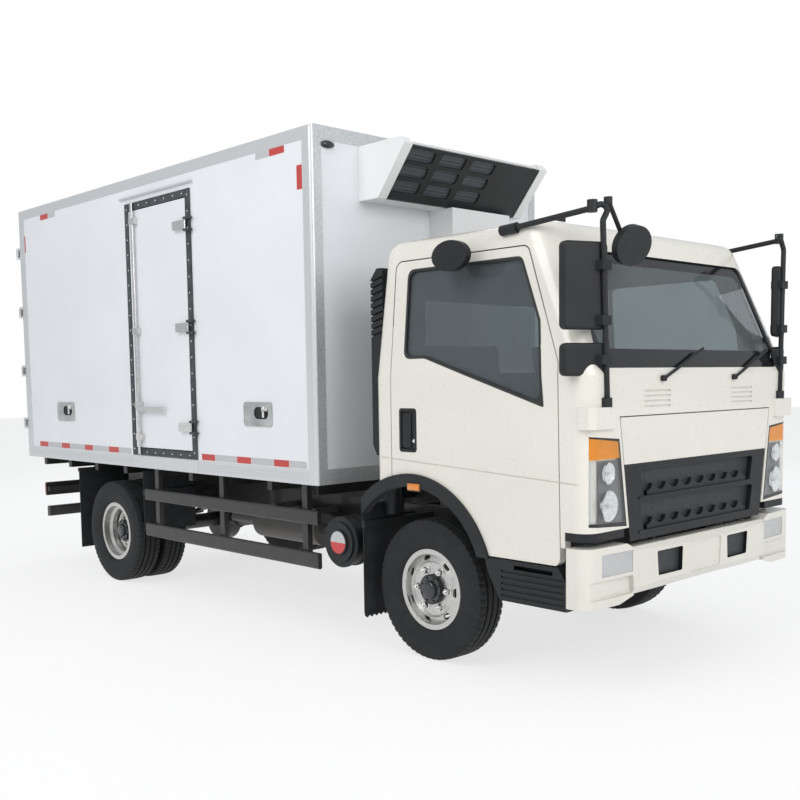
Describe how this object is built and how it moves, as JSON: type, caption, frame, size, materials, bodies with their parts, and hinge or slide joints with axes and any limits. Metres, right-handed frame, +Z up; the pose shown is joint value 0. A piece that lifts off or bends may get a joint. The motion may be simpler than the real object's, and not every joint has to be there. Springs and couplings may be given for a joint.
{
  "type": "refrigerated truck",
  "caption": "Light cab-over truck with an insulated box body, a refrigeration unit over the cab, a side door, rear doors and twin rear wheels.",
  "frame": {"origin": "on the ground below the middle of the overall size", "axes": "+X forward, +Y to the truck's left, +Z up"},
  "size_m": [5.995, 2.1337, 3.011],
  "materials": {
    "cab_paint": "gloss cream paint",
    "box_panel": "gloss pale grey-blue panel",
    "box_rail": "white coated aluminium",
    "black_plastic": "moulded black plastic",
    "black_frame": "black chassis paint",
    "engine_metal": "raw and painted iron",
    "tyre_rubber": "road tyre",
    "rim_silver": "silver wheel paint",
    "chrome_fittings": "polished stainless",
    "gasket_rubber": "dark rubber",
    "clear_glass": "tinted window glass",
    "lamp_lens": "lamp lens",
    "fridge_white": "white moulded cover",
    "seat_fabric": "woven seat cover",
    "interior_grey": "grained grey plastic",
    "tank_aluminium": "rolled aluminium",
    "flap_rubber": "mudflap rubber"
  },
  "bodies": {
    "chassis": {"chassis_frame": "black_frame", "driveline": "engine_metal", "front_axle": "black_frame", "rear_axle": "black_frame", "fuel_tank": "tank_aluminium", "air_cleaner": "black_plastic", "battery_box": "black_plastic", "exhaust": "engine_metal", "side_guards": "black_frame", "rear_underrun": "black_frame", "mudguards": "flap_rubber", "front_bumper": "cab_paint", "chassis_lamps": "lamp_lens", "box_floor": "box_panel", "box_side_walls": "box_panel", "box_front_wall": "box_panel", "box_roof": "box_panel", "box_frame": "box_rail", "side_door_frame": "gasket_rubber", "fridge_unit": "fridge_white", "fridge_grille": "black_plastic"},
    "cab": {"cab_shell": "cab_paint", "cab_floor": "interior_grey", "cab_glass": "clear_glass", "dashboard": "interior_grey", "seats": "seat_fabric", "mirrors": "black_plastic", "wipers": "black_plastic", "intake_stack": "black_plastic", "cab_skirts": "black_plastic", "headlamps": "lamp_lens"},
    "cab_door_right": {"cab_door_right": "cab_paint", "door_glass_right": "clear_glass", "kerb_mirror": "black_plastic"},
    "cab_door_left": {"cab_door_left": "cab_paint", "door_glass_left": "clear_glass"},
    "front_lid": {"front_lid": "cab_paint", "grille": "black_plastic"},
    "steering_wheel": {"steering_wheel": "interior_grey"},
    "knuckle_right": {"knuckle_right": "engine_metal"},
    "knuckle_left": {"knuckle_left": "engine_metal"},
    "tie_rod": {"tie_rod": "black_frame"},
    "wheel_front_right": {"tyre_front_right": "tyre_rubber", "rim_front_right": "rim_silver"},
    "wheel_front_left": {"tyre_front_left": "tyre_rubber", "rim_front_left": "rim_silver"},
    "wheels_rear_right": {"tyres_rear_right": "tyre_rubber", "rims_rear_right": "rim_silver"},
    "wheels_rear_left": {"tyres_rear_left": "tyre_rubber", "rims_rear_left": "rim_silver"},
    "side_door": {"side_door": "box_panel", "side_door_fittings": "chrome_fittings"},
    "rear_door_right": {"rear_door_right": "box_panel", "rear_fittings_right": "chrome_fittings"},
    "rear_door_left": {"rear_door_left": "box_panel", "rear_fittings_left": "chrome_fittings"}
  },
  "joints": [
    {"name": "wheel_front_right_spin", "type": "hinge", "parent": "knuckle_right", "child": "wheel_front_right", "pos_m": [1.8675, -0.842, 0.389], "axis": [0, 1, 0], "continuous": true},
    {"name": "wheel_front_left_spin", "type": "hinge", "parent": "knuckle_left", "child": "wheel_front_left", "pos_m": [1.8675, 0.842, 0.389], "axis": [0, 1, 0], "continuous": true},
    {"name": "wheels_rear_right_spin", "type": "hinge", "parent": "chassis", "child": "wheels_rear_right", "pos_m": [-1.4925, -0.807, 0.389], "axis": [0, 1, 0], "continuous": true},
    {"name": "wheels_rear_left_spin", "type": "hinge", "parent": "chassis", "child": "wheels_rear_left", "pos_m": [-1.4925, 0.807, 0.389], "axis": [0, 1, 0], "continuous": true},
    {"name": "steer_left", "type": "hinge", "parent": "chassis", "child": "knuckle_left", "pos_m": [1.8675, 0.7, 0.389], "axis": [0, 0, 1], "range_deg": [-36, 36]},
    {"name": "steer_right", "type": "hinge", "parent": "chassis", "child": "knuckle_right", "pos_m": [1.8675, -0.7, 0.389], "axis": [0, 0, 1], "range_deg": [-36, 36]},
    {"name": "tie_rod_swing", "type": "hinge", "parent": "knuckle_left", "child": "tie_rod", "pos_m": [1.7175, 0.7, 0.292], "axis": [0, 0, 1], "range_deg": [-36, 36]},
    {"name": "steering_wheel_turn", "type": "hinge", "parent": "cab", "child": "steering_wheel", "pos_m": [2.44, 0.5, 1.37], "axis": [-0.8, 0, 0.6], "range_deg": [-576, 576]},
    {"name": "cab_tilt", "type": "hinge", "parent": "chassis", "child": "cab", "pos_m": [2.915, 0, 0.64], "axis": [0, 1, 0], "range_deg": [0, 45]},
    {"name": "cab_door_right_hinge", "type": "hinge", "parent": "cab", "child": "cab_door_right", "pos_m": [2.805, -0.99, 1.3], "axis": [0, 0, 1], "range_deg": [0, 70]},
    {"name": "cab_door_left_hinge", "type": "hinge", "parent": "cab", "child": "cab_door_left", "pos_m": [2.805, 0.99, 1.3], "axis": [0, 0, -1], "range_deg": [0, 70]},
    {"name": "front_lid_hinge", "type": "hinge", "parent": "cab", "child": "front_lid", "pos_m": [2.965, 0, 1.341], "axis": [0, -1, 0], "range_deg": [0, 60]},
    {"name": "side_door_hinge", "type": "hinge", "parent": "chassis", "child": "side_door", "pos_m": [-0.282, -1.053, 1.91], "axis": [0, 0, 1], "range_deg": [0, 165]},
    {"name": "rear_door_right_hinge", "type": "hinge", "parent": "chassis", "child": "rear_door_right", "pos_m": [-2.975, -1.04, 1.965], "axis": [0, 0, 1], "range_deg": [0, 255]},
    {"name": "rear_door_left_hinge", "type": "hinge", "parent": "chassis", "child": "rear_door_left", "pos_m": [-2.975, 1.04, 1.965], "axis": [0, 0, -1], "range_deg": [0, 255]}
  ],
  "couplings": [
    {"joint": "steer_right", "follows": "steer_left", "ratio": 1},
    {"joint": "tie_rod_swing", "follows": "steer_left", "ratio": -1},
    {"joint": "steering_wheel_turn", "follows": "steer_left", "ratio": 16}
  ]
}
